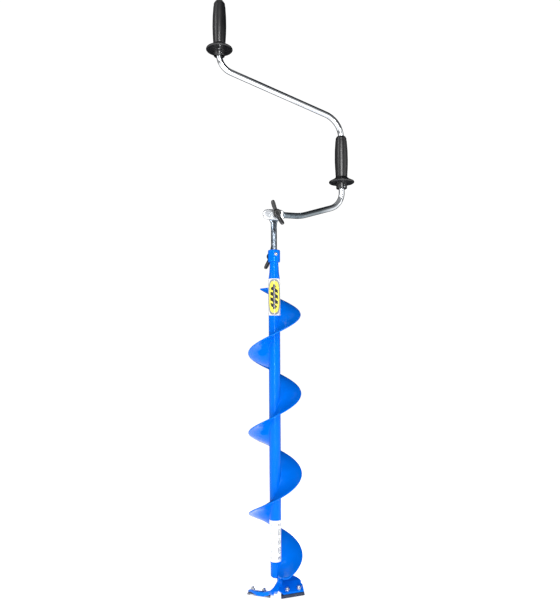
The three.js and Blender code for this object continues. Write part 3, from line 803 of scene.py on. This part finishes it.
def knife_plane(side):
    """The knife's own frame: X along its edge, Y away from the edge, Z up through it."""
    turn = Matrix.Rotation(HEAD_AZIMUTH + math.pi * (side - 1), 4, "Z")
    place = Matrix.Translation(KNIFE_PLANE_CORNER)
    tilt = Matrix.Rotation(KNIFE_TILT, 4, "Y")
    rake = Matrix.Rotation(KNIFE_RAKE, 4, "X")
    return turn @ place @ tilt @ rake


def make_knife_fasteners():
    """Two screws and two nuts on each knife, the nuts turned each its own way."""
    for number in range(1, 5):
        side = 1 if number <= 2 else 2
        along = KNIFE_SCREW_PLACES[(number - 1) % 2]
        place = knife_plane(side) @ Matrix.Translation((along, KNIFE_SCREW_BEHIND_EDGE, 0))
        spin = Matrix.Rotation(math.radians(17 + 23 * number), 4, "Z")
        lift = Matrix.Translation((0, 0, KNIFE_NUT_HEIGHT))
        verts, faces = hex_nut_mesh(10 * MM, 5 * MM, 3.15 * MM)
        verts = [place @ lift @ spin @ v for v in verts]
        finish = ("auger", f"knife_nut_{number}", "zinc_plate", SCREW_ZINC)
        piece(f"nut_skin_{number}", verts, faces, *finish, sharp=30)
        verts, faces = screw_mesh(3 * MM, 0.1 * MM, 17.3 * MM, 5 * MM, 2.5 * MM)
        verts = [place @ v for v in verts]
        finish = ("auger", f"knife_screw_{number}", "zinc_plate", SCREW_ZINC)
        piece(f"screw_skin_{number}", verts, faces, *finish, sharp=35)


def dress(node, material, bevel):
    """A CAD node whose shape is right: its finish, smooth shading and broken edges."""
    made = frame["nodes"][node]
    paint(made, material, 35)
    edge = made.modifiers.new("broken_edges", "BEVEL")
    edge.width = bevel
    edge.segments = 2
    edge.limit_method = "ANGLE"
    edge.angle_limit = math.radians(40)
    edge.use_clamp_overlap = True


# ------------------------------------------------------------------ knobs and bolts

WING_ROWS = [  # distance from the hub's axis, width, depth, squareness
    (4.0, 10.6, 12.4, 2.4),
    (9.0, 9.0, 11.2, 2.5),
    (12.0, 8.8, 10.4, 2.6),
    (16.0, 9.2, 9.2, 2.8),
    (20.0, 9.6, 8.4, 3.0),
    (24.6, 9.4, 7.8, 3.0),
    (27.8, 8.2, 6.6, 2.8),
    (29.4, 5.8, 4.8, 2.4),
    (29.9, 2.8, 2.4, 2.2),
]
WING_START, WING_REACH, WING_HEIGHT = 5, 25, 8


def make_wing_knob(name, node, body, face, direction, wing_angle, lean):
    """A moulded wing knob: a round hub whose two wings lean away from the face it sits on."""
    length, hub = 18 * MM, 9.4 * MM
    hub_profile = rounded([
        (0, 0, 0),
        (hub - 0.6 * MM, 0, 0.6 * MM),
        (hub, 1.5 * MM, 1 * MM),
        (hub - 0.1 * MM, 12 * MM, 4 * MM),
        (hub - 0.9 * MM, length - 1.7 * MM, 1.5 * MM),
        (hub - 3.2 * MM, length, 0.8 * MM),
        (hub - 4.4 * MM, length, 0.3 * MM),
        (hub - 5 * MM, length - 1.2 * MM, 0.3 * MM),
        (0, length - 1.2 * MM, 0),
    ], 1 * MM)
    parts = [raw_object(name, *turned(hub_profile, 64))]
    for angle in (wing_angle, wing_angle + 180):
        turn = math.radians(angle)
        out = Vector((math.cos(turn), math.sin(turn), 0))
        across = Vector((-out.y, out.x, 0))
        rings = []
        for distance, width, depth, square in WING_ROWS:
            share = (distance - WING_START) / WING_REACH
            centre = out * distance * MM + Vector((0, 0, (WING_HEIGHT + lean * share) * MM))
            half_width, half_depth = across * (width / 2 * MM), Vector((0, 0, depth / 2 * MM))
            rings.append(oval_ring(centre, half_width, half_depth, square, 28))
        parts.append(raw_object(f"{name}_wing_{angle}", *rings_to_mesh(rings)))
    spin = Matrix.Rotation(math.radians(-90 * direction), 4, "X")
    for part in parts:
        part.data.transform(Matrix.Translation(face) @ spin)
    skin = fused(parts, 0.55 * MM, 5)
    finish_piece(skin, body, node, BLACK, sharp=60)


def make_wing_knobs():
    """The crank's knob in front and the clamp's nut at the back."""
    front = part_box("pivot_wing_knob")[1].y
    face = Vector((PIVOT.x, front, PIVOT.z))
    make_wing_knob("pivot_knob_skin", "pivot_wing_knob", "pivot_knob", face, -1, 115, 10)
    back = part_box("clamp_wing_nut")[0].y
    face = Vector((CLAMP.x, back, CLAMP.z))
    make_wing_knob("clamp_nut_skin", "clamp_wing_nut", "clamp_knob", face, 1, 109, 16)


def make_clamp_bolt():
    """A plain shank with a domed, hollowed head towards the front."""
    low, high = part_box("clamp_bolt")
    length = high.y - low.y
    head = length - 3 * MM
    profile = [
        (0, 0, 0),
        (3 * MM, 0, 0.5 * MM),
        (3 * MM, head, 0),
        (4 * MM, head, 0.4 * MM),
        (3.8 * MM, length - 1.2 * MM, 1.2 * MM),
        (2.4 * MM, length, 1 * MM),
        (1.7 * MM, length, 0.2 * MM),
        (1.5 * MM, length - 1.6 * MM, 0.2 * MM),
        (0, length - 1.8 * MM, 0),
    ]
    finish = ("auger", "clamp_bolt", "zinc_plate", SCREW_ZINC)
    turned_piece("clamp_bolt_skin", profile, (0, high.y, CLAMP.z), (0, -1, 0), finish, steps=48)


def make_washer(node, body, inner, outer):
    low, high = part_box(node)
    depth = high.y - low.y
    profile = [(inner, 0), (outer, 0), (outer, depth), (inner, depth)]
    place = ((low.x + high.x) / 2, low.y, (low.z + high.z) / 2)
    finish = (body, node, "zinc_plate", SCREW_ZINC)
    turned_piece(f"{node}_skin", profile, place, (0, 1, 0), finish, rounding=0.35 * MM, steps=56)


def make_pivot_bolt():
    """A chamfered hexagon head at the back and a shank towards the front."""
    low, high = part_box("pivot_bolt")
    apothem = (high.x - low.x) / 2
    head_depth, shank = 5.3 * MM, 4 * MM
    head_rows = ((0.0, 0.0), (0.84, 0.0), (0.93, 0.1), (1.0, 0.24), (1.0, 0.6), (1.0, 1.0))
    steps = 72
    rings = []
    for i in range(steps):
        angle = 2 * math.pi * i / steps
        c, s = math.cos(angle), math.sin(angle)
        ring = []
        for share, depth in head_rows:
            radius = min(hexagon_radius(apothem, angle), hexagon_corner(apothem) * share)
            ring.append(Vector((radius * c, high.y - depth * head_depth, PIVOT.z + radius * s)))
        for y in (high.y - head_depth, low.y):
            ring.append(Vector((shank * c, y, PIVOT.z + shank * s)))
        ring.append(Vector((0, low.y, PIVOT.z)))
        rings.append(ring)
    verts, faces = rings_to_mesh(rings, closed=True)
    piece("pivot_bolt_skin", verts, faces, "shaft", "pivot_bolt", "zinc_plate", SCREW_ZINC, sharp=30)


# ------------------------------------------------------------------ shaft

def boolean_cut(made, cutter):
    step = made.modifiers.new("cut", "BOOLEAN")
    step.operation = "DIFFERENCE"
    step.solver = "EXACT"
    step.object = cutter
    apply_modifiers(made)
    bpy.data.objects.remove(cutter)


def make_shaft():
    """A drawn bar pressed flat at its top, slotted along its length."""
    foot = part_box("telescopic_shaft")[0].z - PIVOT.z
    rows = [  # height from the pivot, half width, half depth, squareness
        (foot, 6.5, 6.5, 2.0),
        (foot + 0.5 * MM, 7, 7, 2.0),
        (-48 * MM, 7, 7, 2.0),
        (-45 * MM, 7.0, 6.9, 2.0),
        (-41 * MM, 7.0, 6.3, 2.1),
        (-37 * MM, 7.0, 5.0, 2.3),
        (-34 * MM, 7.0, 4.0, 2.6),
        (-31.5 * MM, 7.0, 3.5, 2.9),
        (-20 * MM, 7.2, 3.5, 3.1),
        (-17.5 * MM, 8.0, 3.5, 3.3),
        (-15 * MM, 9.4, 3.5, 3.6),
        (-12.5 * MM, 10.5, 3.5, 4.0),
        (-9 * MM, 11.0, 3.5, 4.2),
        (6 * MM, 11.0, 3.5, 4.2),
        (8.5 * MM, 10.4, 3.5, 4.0),
        (10.3 * MM, 8.8, 3.4, 3.6),
        (11.2 * MM, 6.4, 3.1, 3.0),
        (11.5 * MM, 4.0, 2.6, 2.6),
    ]
    rings = []
    for z, half_x, half_y, square in rows:
        centre = Vector((0, 0, PIVOT.z + z))
        across, deep = Vector((half_x * MM, 0, 0)), Vector((0, half_y * MM, 0))
        rings.append(oval_ring(centre, across, deep, square, 64))
    shaft = raw_object("shaft_skin", *rings_to_mesh(rings))
    half = SLOT_HALF_WIDTH
    steps = 16
    outline = []
    for first_angle, centre_z in ((0, CLAMP.z), (math.pi, CLAMP.z - SHAFT_TRAVEL)):
        for i in range(steps + 1):
            angle = first_angle + math.pi * i / steps
            outline.append((half * math.cos(angle), centre_z + half * math.sin(angle)))
    rings = [[Vector((x, y, z)) for x, z in outline] for y in (-20 * MM, 20 * MM)]
    boolean_cut(shaft, raw_object("slot", *rings_to_mesh(rings)))
    finish_piece(shaft, "shaft", "telescopic_shaft", SHAFT_ZINC, sharp=35)


# ------------------------------------------------------------------ crank

FLAT_ROWS = [  # X from the pivot, half height, half depth, squareness
    (-27.5, 3.6, 2.4, 2.4),
    (-27.1, 5.6, 3.0, 2.8),
    (-26.0, 7.7, 3.4, 3.2),
    (-24.0, 9.4, 3.5, 3.4),
    (-21.0, 10.8, 3.5, 3.8),
    (-17.0, 11.7, 3.5, 4.2),
    (-12.0, 12.0, 3.5, 4.2),
    (4.0, 12.0, 3.5, 4.2),
    (10.0, 12.0, 3.5, 4.2),
    (14.0, 11.9, 3.5, 4.0),
    (16.0, 11.6, 3.7, 3.6),
    (17.6, 10.8, 4.3, 3.0),
    (19.0, 9.6, 5.3, 2.6),
    (20.4, 8.4, 6.3, 2.2),
    (22.0, 7.4, 6.9, 2.05),
    (25.0, 7.0, 7.0, 2.0),
]
FLAT_STEP = 0.8


def bent_path(corners, step=2.2 * MM):
    """Points along straight runs through (x, z, bend radius) corners, dense only in the bends."""
    places = [Vector((corner[0], PIVOT.y, corner[1])) for corner in corners]
    points = [places[0]]
    for i in range(1, len(corners) - 1):
        corner, radius = places[i], corners[i][2]
        before = (corner - places[i - 1]).normalized()
        after = (places[i + 1] - corner).normalized()
        turn = before.angle(after)
        start = corner - before * radius * math.tan(turn / 2)
        centre = corner + (after - before).normalized() * (radius / math.cos(turn / 2))
        arm = start - centre
        axis = before.cross(after).normalized()
        count = max(4, int(radius * turn / step))
        for k in range(count + 1):
            points.append(centre + Matrix.Rotation(turn * k / count, 3, axis) @ arm)
    points.append(places[-1])
    return points


def refined(rows, step):
    """The rows with more between them, so that their first values lie about a step apart."""
    out = []
    for a, b in zip(rows, rows[1:]):
        count = max(1, int((b[0] - a[0]) / step))
        for k in range(count):
            out.append(tuple(p + (q - p) * k / count for p, q in zip(a, b)))
    out.append(rows[-1])
    return out


def make_crank():
    """One bar: its lower end swaged flat and slotted, then bent into the crank and up into the grips."""
    lower_x, upper_x = LOWER_GRIP.x, UPPER_GRIP.x
    path = bent_path([
        (29 * MM, ARM_Z),
        (63 * MM, ARM_Z, 80 * MM),
        (lower_x, ARM_Z + 31.6 * MM, 42 * MM),
        (lower_x, ARM_Z + 236.5 * MM, 56 * MM),
        (upper_x, ARM_Z + 330.5 * MM, 38 * MM),
        (upper_x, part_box("crank_rod")[1].z),
    ])
    count = 56
    rings = []
    forward = Vector((0, -1, 0))
    for x, half_z, half_y, square in refined(FLAT_ROWS, FLAT_STEP):
        centre = Vector((x * MM, PIVOT.y, ARM_Z))
        height = Vector((0, 0, half_z * MM))
        rings.append(oval_ring(centre, forward * (half_y * MM), height, square, count))
    for k, point in enumerate(path):
        along = (path[min(k + 1, len(path) - 1)] - path[max(k - 1, 0)]).normalized()
        up = forward.cross(along)
        rings.append(oval_ring(point, forward * ROD_R, up * ROD_R, 2, count))
    rod = raw_object("crank_skin", *rings_to_mesh(rings))
    left, right, depth, height = -22.3 * MM, -12.2 * MM, 2.4 * MM, 1.9 * MM
    for low in GROOVE_HEIGHTS:
        bottom = PIVOT.z + low
        corners = ((left, bottom), (right, bottom), (right, bottom + height), (left, bottom + height))
        rings = [[Vector((x, y, z)) for x, z in corners] for y in (-12 * MM, -12 * MM + depth)]
        boolean_cut(rod, raw_object("groove", *rings_to_mesh(rings)))
    finish_piece(rod, "crank", "crank_rod", CHROME, sharp=50)


# ------------------------------------------------------------------ grips

def make_grip(name, node, body, place, capped):
    """A barrel with a hand guard and a cross-slotted collar below it; a capped one is hollow on top."""
    low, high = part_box(node)
    length = high.z - low.z
    bore, mouth = 7.35 * MM, 10.2 * MM
    outside = [
        (mouth, 0, 0.3 * MM),
        (12.3 * MM, 0, 0.8 * MM),
        (13 * MM, 1.6 * MM, 1 * MM),
        (13 * MM, 12.4 * MM, 0.8 * MM),
        (24 * MM, 13.9 * MM, 2 * MM),
        (28.8 * MM, 13.6 * MM, 0.8 * MM),
        (30.3 * MM, 15.2 * MM, 1.0 * MM),
        (29.8 * MM, 17.6 * MM, 1.4 * MM),
        (20.0 * MM, 22.6 * MM, 9 * MM),
        (14.8 * MM, 26.9 * MM, 2 * MM),
        (13.7 * MM, 28.4 * MM, 0.5 * MM),
        (14.0 * MM, 30 * MM, 0.8 * MM),
        (15.2 * MM, 52 * MM, 40 * MM),
        (15.7 * MM, 69 * MM, 60 * MM),
        (15.3 * MM, 92 * MM, 40 * MM),
        (13.9 * MM, 113.4 * MM, 10 * MM),
        (13.7 * MM, 115.4 * MM, 0.4 * MM),
        (13.2 * MM, 115.9 * MM, 0.4 * MM),
        (12.8 * MM, 122.5 * MM, 4 * MM),
        (9.8 * MM, length, 3.0 * MM),
    ]
    if capped:
        well, well_floor = 9.2 * MM, length - 17 * MM
        outside += [(well, length, 0.3 * MM), (well, well_floor, 0), (bore, well_floor, 0)]
    else:
        outside += [(bore, length, 0.6 * MM)]
    outside += [(bore, 13 * MM, 0), (mouth, 11 * MM, 0)]
    verts, faces = turned(rounded(outside, 0.5 * MM, 6), 96)
    foot = Vector((place.x, place.y, low.z))
    grip = raw_object(name, [v + foot for v in verts], faces)
    corners = ((-2.6, -2), (2.6, -2), (2.6, 11.5), (-2.6, 11.5))
    for turn in (0, 90):
        spin = Matrix.Rotation(math.radians(turn), 3, "Z")
        rings = [[spin @ Vector((x, y, z)) * MM + foot for x, z in corners] for y in (-20, 20)]
        boolean_cut(grip, raw_object("slot", *rings_to_mesh(rings)))
    finish_piece(grip, body, node, BLACK, sharp=38)


def make_grip_cap():
    low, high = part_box("upper_grip_cap")
    profile = [
        (0, 0, 0),
        (8.9 * MM, 0, 0.3 * MM),
        (8.9 * MM, 4.4 * MM, 1.4 * MM),
        (8.0 * MM, 6.1 * MM, 1.6 * MM),
        (4.6 * MM, 7.2 * MM, 3 * MM),
        (0, high.z - low.z, 0),
    ]
    finish = ("upper_grip_body", "upper_grip_cap", "grey_plastic", GREY)
    turned_piece("grip_cap_skin", profile, (UPPER_GRIP.x, UPPER_GRIP.y, low.z), UP, finish, steps=64)


# ------------------------------------------------------------------ the scene

bpy.context.scene.view_settings.view_transform = "Standard"
make_camera()
make_world()
make_floor()
make_light("front", -17, 2.6, 1.0, (1.2, 2.4), 27)
make_light("front_strip", -14, 2.3, 1.0, (0.10, 2.2), 27)
make_light("key", -75, 2.2, 1.9, (0.6, 1.4), 9)
make_light("fill", 50, 2.4, 1.3, (0.6, 1.6), 6)
make_flag("flag_behind", 163, 0.9, (3.4, 2.6), 1.05)
make_flag("flag_above", 80, 0.70, (1.5, 1.1), 1.72, 90)

make_tube()
make_collar()
make_spiral()
make_label("upper_label_skin", "upper_label", -195, -8, upper_label_film())
make_label("lower_label_skin", "lower_label", -198, -28, lower_label_film())
make_carriers()
make_knife_fasteners()
make_wing_knobs()
make_clamp_bolt()
make_washer("clamp_washer", "auger", 3.3 * MM, 7.5 * MM)
make_washer("pivot_washer", "shaft", 4.3 * MM, 8.4 * MM)
make_pivot_bolt()
make_shaft()
make_crank()
make_grip("lower_grip_skin", "lower_grip", "lower_grip_body", LOWER_GRIP, False)
make_grip("upper_grip_skin", "upper_grip", "upper_grip_body", UPPER_GRIP, True)
make_grip_cap()
dress("knife_1", STEEL, 0.2 * MM)
dress("knife_2", STEEL, 0.2 * MM)
dress("shaft_guide_bush", GREY, 0.2 * MM)
dress("rod_end_retainer", SCREW_ZINC, 0.1 * MM)
